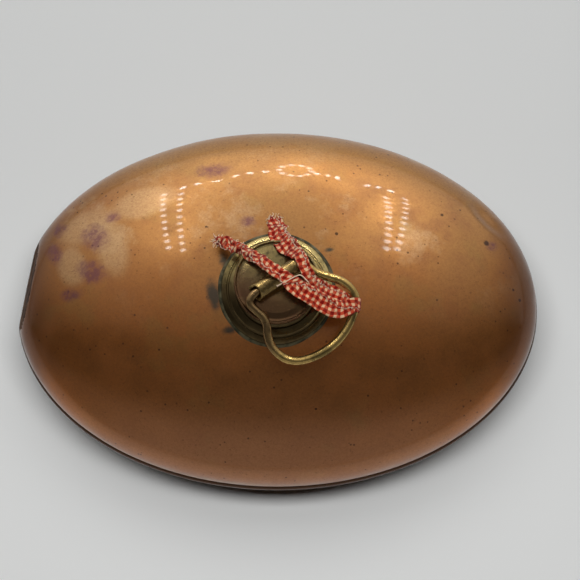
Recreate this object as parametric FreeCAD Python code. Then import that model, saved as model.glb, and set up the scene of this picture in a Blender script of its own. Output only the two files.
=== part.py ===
import FreeCAD, Part
import math
import os

# Oval copper hot-water bottle with a brass screw stopper, in millimetres.
# +Z is up and +X is the long way of the oval body.
# The origin is on the floor under the middle of the body.

# ---- body: two pressed copper half shells ----
BODY_HALF_LENGTH = 138.6
BODY_HALF_WIDTH = 96.0
WAIST_Z = 43.0             # height of the widest line above the floor
DOME_RISE = 46.0           # from the widest line up to where the dome would peak
BELLY_DROP = 46.0          # from the widest line down to where the belly would end
WALL = 0.8
SEAM_Z = 37.0              # the folded seam sits a little below the widest line
SEAM_PROUD = 1.2           # how far the fold stands out past the widest line
SOLDER_SECTION = 1.2
SOLDER_INSET = 1.9         # keeps the solder bead inside the walls' curve

# ---- brass neck ----
NECK_RADIUS = 16.0
NECK_BOTTOM_Z = 83.0
MOUTH_Z = 102.0
SHOULDER_RADIUS = 20.0
SHOULDER_LOW_Z = 84.6
SHOULDER_TOP_Z = 86.4
FLANGE_RADIUS = 28.5
FLANGE_EDGE_Z = 88.7
FLANGE_SOLDER_WIDTH = 1.5

# ---- screw thread, right-hand ----
PITCH = 3.0
PLUG_ROOT_RADIUS = 11.0
PLUG_CREST_RADIUS = 12.2
THREAD_CLEARANCE = 0.3
RIDGE_ROOT_WIDTH = 1.65
RIDGE_CREST_WIDTH = 0.75
RIDGE_BURIED = 0.4         # the ridge runs this far into the metal it stands on
PLUG_THREAD_Z = 88.6
PLUG_THREAD_TURNS = 3.25
NECK_THREAD_TURNS = 4.0
PLUG_BOTTOM_Z = 87.2
PLUG_BORE_RADIUS = 8.8
PLUG_TOP_THICKNESS = 1.6

# ---- stopper cap and its leather washer ----
WASHER_THICKNESS = 1.8
WASHER_RADIUS = 17.4
WASHER_HOLE_RADIUS = 11.3
CAP_RADIUS = 21.4
CAP_RIM_HEIGHT = 3.4
CAP_CROWN_HEIGHT = 4.2

# ---- barrel across the cap, and the wire bail in it ----
BARREL_ANGLE = 34.0        # degrees from +X, seen from above
BARREL_LENGTH = 28.0
BARREL_RADIUS = 4.5
BARREL_BORE_RADIUS = 3.1
BARREL_SOLDER_LENGTH = 25.0
BARREL_SOLDER_WIDTH = 7.0
WIRE_RADIUS = 2.2
BAIL_REST_TILT = 12.0      # degrees below level, where one arm lies on the cap's rim
# the bail's bends: (along the barrel, away from the barrel), bent by hand and not quite even
BAIL_BENDS = [
    (-5.0, 0.0), (-16.6, 0.0), (-18.6, 6.4), (-15.2, 13.0), (-19.6, 21.6), (-21.2, 29.0),
    (-17.2, 37.6), (-8.0, 42.8), (3.5, 44.2), (13.4, 42.2), (22.6, 37.0), (30.0, 28.0),
    (28.6, 20.4), (19.4, 9.8), (16.6, 0.0), (6.0, 0.0)]

# ---- cotton rag tied round the bail ----
RAG_THICKNESS = 1.6
RAG_WIDTH = 9.0
RAG_CLEARANCE = 0.4        # between the two tails
KNOT_RADIUS = 5.4
KNOT_HOLE_RADIUS = 3.2
KNOT_LENGTH = 8.0
KNOT_PLACE = (26.3, 32.5)  # on the bail, in the same two directions as its bends
KNOT_RUN = (-7.4, 9.0)    # which way the wire runs there
# each tail: where it starts and ends seen from above, then (distance, height of its underside)
FRONT_TAIL = ((31.2, -12.9), (-29.6, 24.3),
              [(0, 104.5), (9, 110), (20, 115), (26, 117.8), (34, 117.8), (44, 114.5),
               (55, 108.6), (61, 101), (71.3, 91.5)])
BACK_TAIL = ((12.7, 6.3), (-0.8, 36.9),
             [(0, 117.8), (7, 117.6), (14, 112.2), (18.8, 108.2), (21.5, 103), (33.4, 90.5)])

WASHER_TOP_Z = MOUTH_Z + WASHER_THICKNESS
CROWN_Z = WASHER_TOP_Z + CAP_CROWN_HEIGHT
PIVOT = FreeCAD.Vector(0, 0, CROWN_Z + BARREL_RADIUS)
UP = FreeCAD.Vector(0, 0, 1)
ALONG_BARREL = FreeCAD.Vector(
    math.cos(math.radians(BARREL_ANGLE)), math.sin(math.radians(BARREL_ANGLE)), 0)
ACROSS_BARREL = FreeCAD.Vector(ALONG_BARREL.y, -ALONG_BARREL.x, 0)
BAIL_REACH = (ACROSS_BARREL * math.cos(math.radians(BAIL_REST_TILT))
              - UP * math.sin(math.radians(BAIL_REST_TILT)))


# ---- helpers ----

def vec(x, y, z):
    return FreeCAD.Vector(x, y, z)


def revolved(outline):
    """Solid of revolution about +Z from a closed outline of (radius, height) points."""
    points = [vec(r, 0, z) for r, z in outline]
    face = Part.Face(Part.makePolygon(points + [points[0]]))
    return face.revolve(vec(0, 0, 0), UP, 360)


def ring(inner, outer, low, high):
    return revolved([(inner, low), (outer, low), (outer, high), (inner, high)])


def oval_column(grow, low, high):
    """Upright oval column: the body's widest oval, grown by grow all round."""
    oval = Part.Ellipse(vec(0, 0, low), BODY_HALF_LENGTH + grow, BODY_HALF_WIDTH + grow)
    return Part.Face(Part.Wire(oval.toShape())).extrude(vec(0, 0, high - low))


def oval_ring(inner_grow, outer_grow, low, high):
    return oval_column(outer_grow, low, high).cut(oval_column(inner_grow, low, high))


def body_form(inset):
    """The whole egg-shaped body as one solid, shrunk by inset, with its flat base."""
    radius = BODY_HALF_LENGTH - inset
    waist = vec(radius, 0, WAIST_Z)
    middle = vec(0, 0, WAIST_Z)
    peak = vec(0, 0, WAIST_Z + DOME_RISE - inset)
    belly_end = vec(0, 0, WAIST_Z - BELLY_DROP + inset)
    dome_arc = Part.Ellipse(waist, peak, middle).toShape(0, math.pi / 2)
    belly_arc = Part.Ellipse(waist, belly_end, middle).toShape(0, math.pi / 2)
    core = Part.LineSegment(belly_end, peak).toShape()
    outline = Part.Wire(Part.__sortEdges__([dome_arc, belly_arc, core]))
    round_form = Part.Face(outline).revolve(vec(0, 0, 0), UP, 360)
    squeeze = FreeCAD.Matrix()
    squeeze.scale(1, (BODY_HALF_WIDTH - inset) / radius, 1)
    oval_form = round_form.transformGeometry(squeeze)
    side = 4 * BODY_HALF_LENGTH
    under_base = Part.makeBox(side, side, BELLY_DROP, vec(-side / 2, -side / 2, inset - BELLY_DROP))
    return oval_form.cut(under_base)


def thread_ridge(foot_radius, crest_radius, start_z, turns):
    """Right-hand helical ridge standing on foot_radius, inwards or outwards."""
    into_metal = RIDGE_BURIED if foot_radius > crest_radius else -RIDGE_BURIED
    helix = Part.makeHelix(PITCH, PITCH * turns, foot_radius)
    foot, crest = RIDGE_ROOT_WIDTH / 2, RIDGE_CREST_WIDTH / 2
    section = Part.makePolygon([
        vec(foot_radius + into_metal, 0, -foot), vec(foot_radius + into_metal, 0, foot),
        vec(crest_radius, 0, crest), vec(crest_radius, 0, -crest),
        vec(foot_radius + into_metal, 0, -foot)])
    ridge = Part.Wire(helix).makePipeShell([section], True, True)
    ridge.translate(vec(0, 0, start_z))
    return ridge


def in_bail(along, away):
    """Point on the bail's own tilted plane, measured from the pivot."""
    return PIVOT + ALONG_BARREL * along + BAIL_REACH * away


def bent_wire(points, radius):
    """Round wire along straight runs joined by arcs, each as large as its runs allow."""
    edges = []
    start = points[0]
    for before, corner, after in zip(points, points[1:], points[2:]):
        run_in, run_out = corner - before, after - corner
        turn = run_in.getAngle(run_out)
        room = 0.45 * min(run_in.Length, run_out.Length)
        run_in.normalize()
        run_out.normalize()
        arc_start, arc_end = corner - run_in * room, corner + run_out * room
        bow = (run_out - run_in).normalize()
        bend_radius = room / math.tan(turn / 2)
        centre_distance = bend_radius / math.cos(turn / 2)
        arc_middle = corner + bow * (centre_distance - bend_radius)
        edges.append(Part.LineSegment(start, arc_start).toShape())
        edges.append(Part.Arc(arc_start, arc_middle, arc_end).toShape())
        start = arc_end
    edges.append(Part.LineSegment(start, points[-1]).toShape())
    path = Part.Wire(edges)
    section = Part.Wire(Part.makeCircle(radius, points[0], points[1] - points[0]))
    return path.makePipeShell([section], True, False)


def rag_tail(start, end, underside, grow=0.0):
    """Plain strip of cloth: a side outline in an upright plane, given the strip's width."""
    run = vec(end[0] - start[0], end[1] - start[1], 0).normalize()
    side = UP.cross(run)
    origin = vec(start[0], start[1], 0)
    low = [origin + run * s + UP * (z - grow) for s, z in underside]
    high = [point + UP * (RAG_THICKNESS + 2 * grow) for point in reversed(low)]
    half = RAG_WIDTH / 2 + grow
    outline = [point - side * half for point in low + high]
    return Part.Face(Part.makePolygon(outline + [outline[0]])).extrude(side * 2 * half)


# ---- body ----

def make_body():
    outer, inner = body_form(0), body_form(WALL)
    skin = outer.cut(inner)
    big = 2 * BODY_HALF_LENGTH
    below = Part.makeBox(2 * big, 2 * big, SEAM_Z + 10, vec(-big, -big, -10))
    neck_hole = Part.makeCylinder(NECK_RADIUS, DOME_RISE + WALL, vec(0, 0, WAIST_Z))
    lip = oval_ring(-1.9 * WALL, SEAM_PROUD - WALL, SEAM_Z - WALL / 2, SEAM_Z + WALL / 2)
    fold_low = SEAM_Z - 1.5 * WALL
    fold_high = SEAM_Z + 1.5 * WALL
    fold_under = oval_ring(-2.5 * WALL, SEAM_PROUD, fold_low, SEAM_Z - WALL / 2)
    fold_side = oval_ring(SEAM_PROUD - WALL, SEAM_PROUD, fold_low, fold_high)
    fold_over = oval_ring(-0.5, SEAM_PROUD, SEAM_Z + WALL / 2, fold_high)
    upper = skin.cut(below).cut(oval_ring(-3, 3, SEAM_Z - 1, SEAM_Z + WALL / 2))
    upper = upper.fuse(lip).cut(neck_hole)
    lower = skin.common(below).cut(oval_ring(-3, 3, fold_low, SEAM_Z + 1))
    lower = lower.fuse([fold_under, fold_side, fold_over])
    solder_outer = -WALL - SOLDER_INSET
    solder = oval_ring(solder_outer - SOLDER_SECTION, solder_outer, SEAM_Z - 1.4, SEAM_Z + 0.6)
    return outer, inner, {"upper_shell": upper, "lower_shell": lower, "seam_solder": solder}


# ---- neck ----

def make_neck(outer, inner):
    foot_z = NECK_BOTTOM_Z + 1
    edge = FLANGE_EDGE_Z
    flange = revolved([
        (NECK_RADIUS, foot_z), (FLANGE_RADIUS, foot_z), (FLANGE_RADIUS, edge - 0.3),
        (FLANGE_RADIUS - 0.6, edge + 0.2), (25.8, edge + 1.4), (25.3, edge + 1.1),
        (24.8, edge + 1.3), (24.2, edge + 2.2), (21.2, edge + 3.7), (20.7, edge + 3.4),
        (20.2, edge + 3.6), (19.4, edge + 4.6), (17.8, edge + 5.8), (17.3, edge + 7.4),
        (NECK_RADIUS, edge + 7.9)])
    flange = flange.cut(outer)
    fillet = revolved([
        (FLANGE_RADIUS, foot_z), (FLANGE_RADIUS + FLANGE_SOLDER_WIDTH, foot_z),
        (FLANGE_RADIUS + FLANGE_SOLDER_WIDTH, edge - 1.0), (FLANGE_RADIUS, edge - 0.4)])
    fillet = fillet.cut(outer)
    inner_root = PLUG_CREST_RADIUS + THREAD_CLEARANCE
    inner_crest = PLUG_ROOT_RADIUS + THREAD_CLEARANCE
    tube = revolved([
        (inner_root, NECK_BOTTOM_Z), (NECK_RADIUS, NECK_BOTTOM_Z),
        (NECK_RADIUS, SHOULDER_LOW_Z), (SHOULDER_RADIUS, SHOULDER_LOW_Z),
        (SHOULDER_RADIUS, SHOULDER_TOP_Z), (NECK_RADIUS, SHOULDER_TOP_Z),
        (NECK_RADIUS, MOUTH_Z), (inner_root + 0.8, MOUTH_Z), (inner_root, MOUTH_Z - 0.8)])
    neck_thread = thread_ridge(inner_root, inner_crest, PLUG_THREAD_Z - PITCH / 2, NECK_THREAD_TURNS)
    neck_solder = ring(NECK_RADIUS, SHOULDER_RADIUS, SHOULDER_TOP_Z, FLANGE_EDGE_Z).common(inner)
    return {"neck_flange": flange, "flange_solder": fillet,
            "filler_neck": tube.fuse(neck_thread), "neck_solder": neck_solder}


# ---- stopper ----

def make_stopper():
    low = WASHER_TOP_Z
    rim = low + CAP_RIM_HEIGHT
    cap = revolved([
        (0, low), (CAP_RADIUS - 1.0, low), (CAP_RADIUS, low + 1.0), (CAP_RADIUS, rim - 0.7),
        (CAP_RADIUS - 0.6, rim), (CAP_RADIUS - 1.3, rim), (CAP_RADIUS - 1.9, rim - 0.5),
        (12, CROWN_Z - 0.4), (0, CROWN_Z)])
    plug = revolved([
        (PLUG_BORE_RADIUS, PLUG_BOTTOM_Z), (PLUG_ROOT_RADIUS, PLUG_BOTTOM_Z),
        (PLUG_ROOT_RADIUS, low), (0, low), (0, low - PLUG_TOP_THICKNESS),
        (PLUG_BORE_RADIUS, low - PLUG_TOP_THICKNESS)])
    plug_thread = thread_ridge(PLUG_ROOT_RADIUS, PLUG_CREST_RADIUS, PLUG_THREAD_Z, PLUG_THREAD_TURNS)
    washer = ring(WASHER_HOLE_RADIUS, WASHER_RADIUS, MOUTH_Z, WASHER_TOP_Z)
    end = PIVOT - ALONG_BARREL * (BARREL_LENGTH / 2)
    outside = Part.makeCylinder(BARREL_RADIUS, BARREL_LENGTH, end, ALONG_BARREL)
    bore = Part.makeCylinder(BARREL_BORE_RADIUS, BARREL_LENGTH, end, ALONG_BARREL)
    bed = Part.makeBox(BARREL_SOLDER_LENGTH, BARREL_SOLDER_WIDTH, BARREL_RADIUS,
                       vec(-BARREL_SOLDER_LENGTH / 2, -BARREL_SOLDER_WIDTH / 2, rim - 0.6))
    bed.rotate(vec(0, 0, 0), UP, BARREL_ANGLE)
    solder = bed.cut(outside).cut(cap)
    return {"stopper_cap": cap, "stopper_plug": plug.fuse(plug_thread), "sealing_washer": washer,
            "bail_barrel": outside.cut(bore), "barrel_solder": solder}


# ---- bail and rag ----

def make_bail():
    return {"bail": bent_wire([in_bail(*bend) for bend in BAIL_BENDS], WIRE_RADIUS)}


def make_rag():
    run = (ALONG_BARREL * KNOT_RUN[0] + BAIL_REACH * KNOT_RUN[1]).normalize()
    end = in_bail(*KNOT_PLACE) - run * (KNOT_LENGTH / 2)
    knot = Part.makeCylinder(KNOT_RADIUS, KNOT_LENGTH, end, run)
    knot = knot.cut(Part.makeCylinder(KNOT_HOLE_RADIUS, KNOT_LENGTH, end, run))
    front = rag_tail(*FRONT_TAIL)
    back = rag_tail(*BACK_TAIL).cut(rag_tail(*FRONT_TAIL, grow=RAG_CLEARANCE))
    return {"rag_loop": knot, "rag_tail_front": front, "rag_tail_back": back}


def main():
    os.makedirs("parts", exist_ok=True)
    outer, inner, pieces = make_body()
    pieces.update(make_neck(outer, inner))
    pieces.update(make_stopper())
    pieces.update(make_bail())
    pieces.update(make_rag())
    for name, shape in pieces.items():
        print(f"{name:16s} solids {len(shape.Solids)} valid {shape.isValid()} volume {shape.Volume:9.1f}")
        shape.exportStep(f"parts/{name}.step")


main()
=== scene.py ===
import math
import random
import bmesh
import bpy
import numpy as np
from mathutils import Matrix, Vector, noise


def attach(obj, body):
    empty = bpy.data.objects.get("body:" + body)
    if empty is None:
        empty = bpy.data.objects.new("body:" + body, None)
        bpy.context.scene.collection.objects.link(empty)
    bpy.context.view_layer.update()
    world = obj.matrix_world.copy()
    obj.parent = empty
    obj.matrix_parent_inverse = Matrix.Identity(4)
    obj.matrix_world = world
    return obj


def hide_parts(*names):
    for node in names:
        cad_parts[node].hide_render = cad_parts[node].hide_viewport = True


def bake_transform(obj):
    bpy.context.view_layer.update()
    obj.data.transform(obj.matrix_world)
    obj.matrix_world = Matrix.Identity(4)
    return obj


# Oval copper hot-water bottle with a brass screw stopper, a wire bail and a gingham rag.
# Sizes and places are millimetres and meshes are made in metres. The camera, the shaders' own
# distances and the lamps are in metres.

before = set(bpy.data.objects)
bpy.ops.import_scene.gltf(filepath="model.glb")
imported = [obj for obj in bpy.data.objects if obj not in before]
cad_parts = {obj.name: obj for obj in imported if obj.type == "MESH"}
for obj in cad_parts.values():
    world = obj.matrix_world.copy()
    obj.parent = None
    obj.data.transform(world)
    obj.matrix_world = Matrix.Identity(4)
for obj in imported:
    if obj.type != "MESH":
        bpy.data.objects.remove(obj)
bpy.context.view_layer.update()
MM = 0.001
noise.seed_set(4)   # noise_vector draws its offsets from this, or from the clock without it

# ---- sizes shared with the CAD model ----
HALF_LENGTH = 138.6
HALF_WIDTH = 96.0
WAIST_Z = 43.0
RISE = 46.0
BELLY_DROP = 46.0
WALL = 0.8
NECK_RADIUS = 16.0
FLANGE_RADIUS = 28.5
FLANGE_EDGE_Z = 88.7
MOUTH_Z = 102.0
WASHER_TOP_Z = 103.8
WASHER_HOLE_RADIUS = 11.3
CAP_RADIUS = 21.4
CAP_RIM_HEIGHT = 3.4
PIVOT = np.array([0.0, 0.0, 112.5])
BARREL_ANGLE = math.radians(34.0)
BARREL_RADIUS = 4.5
BARREL_BORE = 3.1
BARREL_LENGTH = 28.0
WIRE_RADIUS = 2.2
REST_TILT = math.radians(12.0)

UP = np.array([0.0, 0.0, 1.0])
ALONG = np.array([math.cos(BARREL_ANGLE), math.sin(BARREL_ANGLE), 0.0])
ACROSS = np.array([ALONG[1], -ALONG[0], 0.0])
REACH = ACROSS * math.cos(REST_TILT) - UP * math.sin(REST_TILT)

# ---- knocks and dents of the copper ----
FLAT_LEAN = math.radians(15.5)   # the knocked-in left end leans back by this much
FLAT_HEADING = np.array([-0.9855, 0.1698, 0.0])
FLAT_FACE = FLAT_HEADING * math.cos(FLAT_LEAN) + UP * math.sin(FLAT_LEAN)
FLAT_OFFSET = float(np.array([-133.6, 12.5, 43.0]) @ FLAT_FACE)
FLAT_LIMIT_X = -90.0             # nothing to the right of this is flattened
FLAT_BAND = 0.35                 # metal this near the flat plane is battered
CREASE = [(103, 53), (107, 46), (113, 39.5), (121, 34)]
# shallow dents: x, y, half width, half length, depth
DENTS = [(-33.5, 69, 8, 5, 0.45), (40, 62, 9, 6, 0.25), (-84, -30, 16, 9, 0.3),
         (70, -46, 20, 11, 0.3), (-122, -12, 8, 12, 0.5)]


# ---- camera ----

def make_camera():
    """Looks down at the bottle from 78 degrees above the horizon, along +Y."""
    elevation = math.radians(78.0)
    target = np.array([0.0068, -0.0002, 0.088])
    back = np.array([0.0, -math.cos(elevation), math.sin(elevation)])
    data = bpy.data.cameras.new("camera")
    data.lens = 109.4
    data.sensor_width = 36.0
    data.clip_start = 0.05
    data.clip_end = 20.0
    camera = bpy.data.objects.new("camera", data)
    camera.location = target + 0.9 * back
    camera.rotation_euler = (math.pi / 2 - elevation, 0.0, 0.0)
    bpy.context.scene.collection.objects.link(camera)
    bpy.context.scene.camera = camera


# ---- mesh helpers ----

def grid_faces(rows, columns, wrap_rows, wrap_columns):
    """Quads over a rows by columns grid of points."""
    faces = []
    for i in range(rows if wrap_rows else rows - 1):
        for j in range(columns if wrap_columns else columns - 1):
            a = i * columns + j
            b = i * columns + (j + 1) % columns
            c = ((i + 1) % rows) * columns + (j + 1) % columns
            d = ((i + 1) % rows) * columns + j
            faces.append((a, b, c, d))
    return faces


def make_object(name, points_mm, faces, material, texture_map=None):
    """Smooth-shaded object from a closed mesh, turned to face outwards."""
    mesh = bpy.data.meshes.new(name)
    mesh.from_pydata((np.asarray(points_mm, float) * MM).tolist(), [], faces)
    if texture_map is not None:
        layer = mesh.uv_layers.new(name="cloth")
        corner = np.zeros(len(mesh.loops), np.int32)
        mesh.loops.foreach_get("vertex_index", corner)
        layer.data.foreach_set("uv", np.asarray(texture_map, float)[corner].ravel())
    work = bmesh.new()
    work.from_mesh(mesh)
    bmesh.ops.remove_doubles(work, verts=work.verts, dist=1e-7)
    bmesh.ops.dissolve_degenerate(work, edges=work.edges, dist=1e-8)
    if work.calc_volume(signed=True) < 0:
        bmesh.ops.reverse_faces(work, faces=work.faces)
    work.to_mesh(mesh)
    work.free()
    mesh.shade_smooth()
    obj = bpy.data.objects.new(name, mesh)
    bpy.context.scene.collection.objects.link(obj)
    mesh.materials.append(material)
    return obj


def softened(outline, radius, steps=3):
    """A closed outline with each corner rounded off."""
    points = [np.array(p, float) for p in outline]
    soft = []
    for i, corner in enumerate(points):
        before = points[i - 1] - corner
        after = points[(i + 1) % len(points)] - corner
        back = before * min(radius / np.linalg.norm(before), 0.45)
        ahead = after * min(radius / np.linalg.norm(after), 0.45)
        for k in range(steps + 1):
            t = k / steps
            soft.append(corner + back * (1 - t) ** 2 + ahead * t ** 2)
    return np.array(soft)


def round_about_axis(outline, columns, wobble=0.0, seed=0.0):
    """Rows of points of a closed outline of (radius, height), turned about +Z."""
    angles = np.linspace(0, 2 * math.pi, columns, endpoint=False)
    rows = np.zeros((len(outline), columns, 3))
    for i, (radius, height) in enumerate(outline):
        for j, angle in enumerate(angles):
            r = radius
            if wobble:
                place = (2 * math.cos(angle) + seed, 2 * math.sin(angle), 0.3 * height)
                r += wobble * noise.noise(place)
            rows[i, j] = (r * math.cos(angle), r * math.sin(angle), height)
    return rows


def turned(name, outline, material, radius=0.25, columns=160, wobble=0.0, seed=0.0):
    """Lathe-turned ring or disc from an outline of (radius, height) points."""
    soft = softened(outline, radius)
    soft[:, 0] = np.maximum(soft[:, 0], 0.0)
    rows = round_about_axis(soft, columns, wobble, seed)
    faces = grid_faces(len(soft), columns, True, True)
    return make_object(name, rows.reshape(-1, 3), faces, material)


def smooth_path(points, per_run=12):
    """Catmull-Rom curve through points of any dimension."""
    p = np.array(points, float)
    p = np.vstack([2 * p[0] - p[1], p, 2 * p[-1] - p[-2]])
    out = []
    for i in range(1, len(p) - 2):
        for k in range(per_run):
            t = k / per_run
            out.append(0.5 * (2 * p[i] + (p[i + 1] - p[i - 1]) * t
                              + (2 * p[i - 1] - 5 * p[i] + 4 * p[i + 1] - p[i + 2]) * t ** 2
                              + (3 * p[i] - p[i - 1] - 3 * p[i + 1] + p[i + 2]) * t ** 3))
    out.append(p[-2])
    return np.array(out)


def unit(v):
    return v / np.linalg.norm(v)


def tube_rows(path, radii, sides):
    """Rings of points round a path, carried along it without twist."""
    tangents = np.gradient(path, axis=0)
    tangents /= np.linalg.norm(tangents, axis=1)[:, None]
    side = unit(np.cross(tangents[0], (0.31, 0.52, 0.79)))
    rows = np.zeros((len(path), sides, 3))
    for i, (point, tangent, radius) in enumerate(zip(path, tangents, radii)):
        side = unit(side - tangent * np.dot(side, tangent))
        other = np.cross(tangent, side)
        for j in range(sides):
            angle = 2 * math.pi * j / sides
            rows[i, j] = point + radius * (side * math.cos(angle) + other * math.sin(angle))
    return rows


def close_ends(faces, rows, columns):
    """Fans from both open ends of a tube's grid to the two points that follow the grid."""
    total = rows * columns
    for j in range(columns):
        after = (j + 1) % columns
        faces.append((total, after, j))
        faces.append((total + 1, total - columns + j, total - columns + after))


def capped_tube(path, radii, sides):
    """Points and faces of a round bar with closed ends."""
    rows = tube_rows(path, radii, sides)
    points = np.vstack([rows.reshape(-1, 3), path[0], path[-1]])
    faces = grid_faces(len(path), sides, False, True)
    close_ends(faces, len(path), sides)
    return points, faces


# ---- node-material helpers ----

def tone(red, green, blue):
    """A colour from 0-255 display values."""
    def linear(c):
        c /= 255.0
        return c / 12.92 if c <= 0.04045 else ((c + 0.055) / 1.055) ** 2.4
    return (linear(red), linear(green), linear(blue), 1.0)


class Shader:
    """One material's node tree, with short calls for what the finishes share."""

    def __init__(self, name, metallic=0.0, roughness=0.5, coat=0.0, coat_roughness=0.2):
        self.material = bpy.data.materials.new(name)
        self.material.use_nodes = True
        self.tree = self.material.node_tree
        self.surface = self.tree.nodes["Principled BSDF"]
        self.surface.inputs["Metallic"].default_value = metallic
        self.surface.inputs["Roughness"].default_value = roughness
        self.surface.inputs["Coat Weight"].default_value = coat
        self.surface.inputs["Coat Roughness"].default_value = coat_roughness
        self.place = self.add("ShaderNodeTexCoord").outputs["Object"]

    def add(self, kind, **settings):
        node = self.tree.nodes.new(kind)
        for key, value in settings.items():
            setattr(node, key, value)
        return node

    def feed(self, socket, value):
        if isinstance(value, bpy.types.NodeSocket):
            self.tree.links.new(value, socket)
        else:
            socket.default_value = value

    def calc(self, operation, a, b=0.0, c=0.0):
        node = self.add("ShaderNodeMath", operation=operation)
        for socket, value in zip(node.inputs, (a, b, c)):
            self.feed(socket, value)
        return node.outputs[0]

    def noise(self, scale, detail=3.0, roughness=0.55, place=None):
        node = self.add("ShaderNodeTexNoise")
        self.feed(node.inputs["Vector"], place or self.place)
        node.inputs["Scale"].default_value = scale
        node.inputs["Detail"].default_value = detail
        node.inputs["Roughness"].default_value = roughness
        return node.outputs["Fac"]

    def cells(self, scale):
        node = self.add("ShaderNodeTexVoronoi")
        self.feed(node.inputs["Vector"], self.place)
        node.inputs["Scale"].default_value = scale
        return node.outputs["Distance"]

    def ease(self, value, low, high, out_low=0.0, out_high=1.0):
        """Smooth step from out_low to out_high as the value goes from low to high."""
        node = self.add("ShaderNodeMapRange", interpolation_type="SMOOTHSTEP")
        for socket, number in zip(node.inputs, (value, low, high, out_low, out_high)):
            self.feed(socket, number)
        return node.outputs[0]

    def mix(self, amount, a, b):
        node = self.add("ShaderNodeMix", data_type="RGBA")
        self.feed(node.inputs[0], amount)
        self.feed(node.inputs[6], a)
        self.feed(node.inputs[7], b)
        return node.outputs[2]

    def parts(self):
        """The three coordinates of the place on the object, in metres."""
        node = self.add("ShaderNodeSeparateXYZ")
        self.feed(node.inputs[0], self.place)
        return node.outputs

    def blot(self, x, y, across, along, ragged, turn=0.0, soft=0.35):
        """1 inside an oval patch seen from above, with a ragged soft edge.

        Its half sizes are across and along, in mm, where ragged is 0.5; a higher value eats into it.
        """
        node = self.add("ShaderNodeMapping", vector_type="TEXTURE")
        self.feed(node.inputs["Vector"], self.place)
        node.inputs["Location"].default_value = (x * MM, y * MM, 0)
        node.inputs["Rotation"].default_value = (0, 0, turn)
        node.inputs["Scale"].default_value = (across * MM, along * MM, 1000.0)
        length = self.add("ShaderNodeVectorMath", operation="LENGTH")
        self.feed(length.inputs[0], node.outputs[0])
        wavy = self.calc("MULTIPLY_ADD", ragged, 0.9, length.outputs["Value"])
        outline = 1.0 + 0.9 * 0.5
        return self.ease(wavy, outline + soft, outline - soft)

    def bump(self, height, distance, strength=1.0, under=None):
        node = self.add("ShaderNodeBump")
        node.inputs["Strength"].default_value = strength
        node.inputs["Distance"].default_value = distance * MM
        self.feed(node.inputs["Height"], height)
        if under is not None:
            self.feed(node.inputs["Normal"], under)
        return node.outputs[0]

    def finish(self, colour, roughness=None, normal=None):
        self.feed(self.surface.inputs["Base Color"], colour)
        if roughness is not None:
            self.feed(self.surface.inputs["Roughness"], roughness)
        if normal is not None:
            self.feed(self.surface.inputs["Normal"], normal)
        return self.material


# ---- finishes ----

# purple heat and polish stains: x, y, half width, half length, turn
STAINS = [(-95, 31, 11, 10, 0.3), (-97, 12, 13, 8, -0.4), (-107, 0, 7, 5, 0.0), (-117, 24, 6, 10, 0.5),
          (-33.5, 67, 14, 7, 0.1), (-15, 36.5, 6, 5, 0.0), (113, 28, 5, 4, 0.0),
          (-86, 42, 6, 5, 0.2), (-115, 38, 6, 6, 0.2)]
# dark spots: x, y, half width
SPOTS = [(30.8, 30, 1.4), (-36.6, 34, 1.1), (86.5, 43.3, 1.5), (-21.4, 17.7, 0.9), (124, 5, 1.2),
         (127.5, 0, 1.3), (110, 29.4, 2.4), (62, 22, 0.8), (-60, -30, 0.9), (20, -60, 1.0)]


# pale rubbed patches and dark grime by the collar: x, y, half width, half length
PALE_PATCHES = [(-100, 38, 15, 9), (-86, 26, 8, 15), (-107, 16, 7, 10), (-70, 50, 16, 8)]
GRIME_PATCHES = [(-32, -3, 5, 12), (-27, 16, 4, 6), (27, 21, 4, 2), (-24, -21, 6, 3)]


def copper_wear_and_painted_light(s, x, y, broad, middle):
    """The metal's colour: rubbed pale at the back and left and redder in front, with a painted reflection
    over the front, painted light along the back edge and painted shade darkening the ends.
    """
    patchy = s.noise(26, 6, 0.68)
    colour = s.mix(s.ease(broad, 0.35, 0.68), tone(172, 121, 66), tone(170, 108, 48))
    colour = s.mix(s.ease(middle, 0.46, 0.74, 0.0, 0.6), colour, tone(146, 96, 58))
    colour = s.mix(s.ease(x, -0.03, -0.12, 0.0, 0.45), colour, tone(146, 90, 40))
    worn = s.calc("MULTIPLY", s.ease(patchy, 0.50, 0.64), s.ease(y, -0.02, 0.03, 0.12, 0.6))
    colour = s.mix(worn, colour, tone(190, 152, 108))
    colour = s.mix(s.ease(y, 0.035, -0.035, 0.0, 0.75), colour, tone(174, 102, 46))
    olive = s.calc("MULTIPLY", s.ease(s.noise(33, 5, 0.6), 0.54, 0.68), 0.25)
    colour = s.mix(olive, colour, tone(150, 122, 62))
    for px, py, across, along in PALE_PATCHES:
        patch = s.blot(px, py, across, along, patchy, 0.3)
        colour = s.mix(s.calc("MULTIPLY", patch, 0.55), colour, tone(196, 158, 112))
    # painted reflection: the front is turned pinkish grey, standing in for the pale floor it reflects
    front = s.ease(y, -0.045, -0.085, 0.0, 0.55)
    colour = s.mix(front, colour, tone(160, 114, 82))
    # painted light: the back edge is lighter and more orange, standing in for the light it catches
    back = s.ease(y, 0.050, 0.084, 0.0, 0.6)
    colour = s.mix(back, colour, tone(196, 146, 84))
    # painted shade: both ends are darkened, standing in for the shadowed floor they reflect
    ends = s.ease(s.calc("ABSOLUTE", x), 0.108, 0.135, 0.0, 0.9)
    return s.mix(ends, colour, tone(92, 50, 18))


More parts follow.
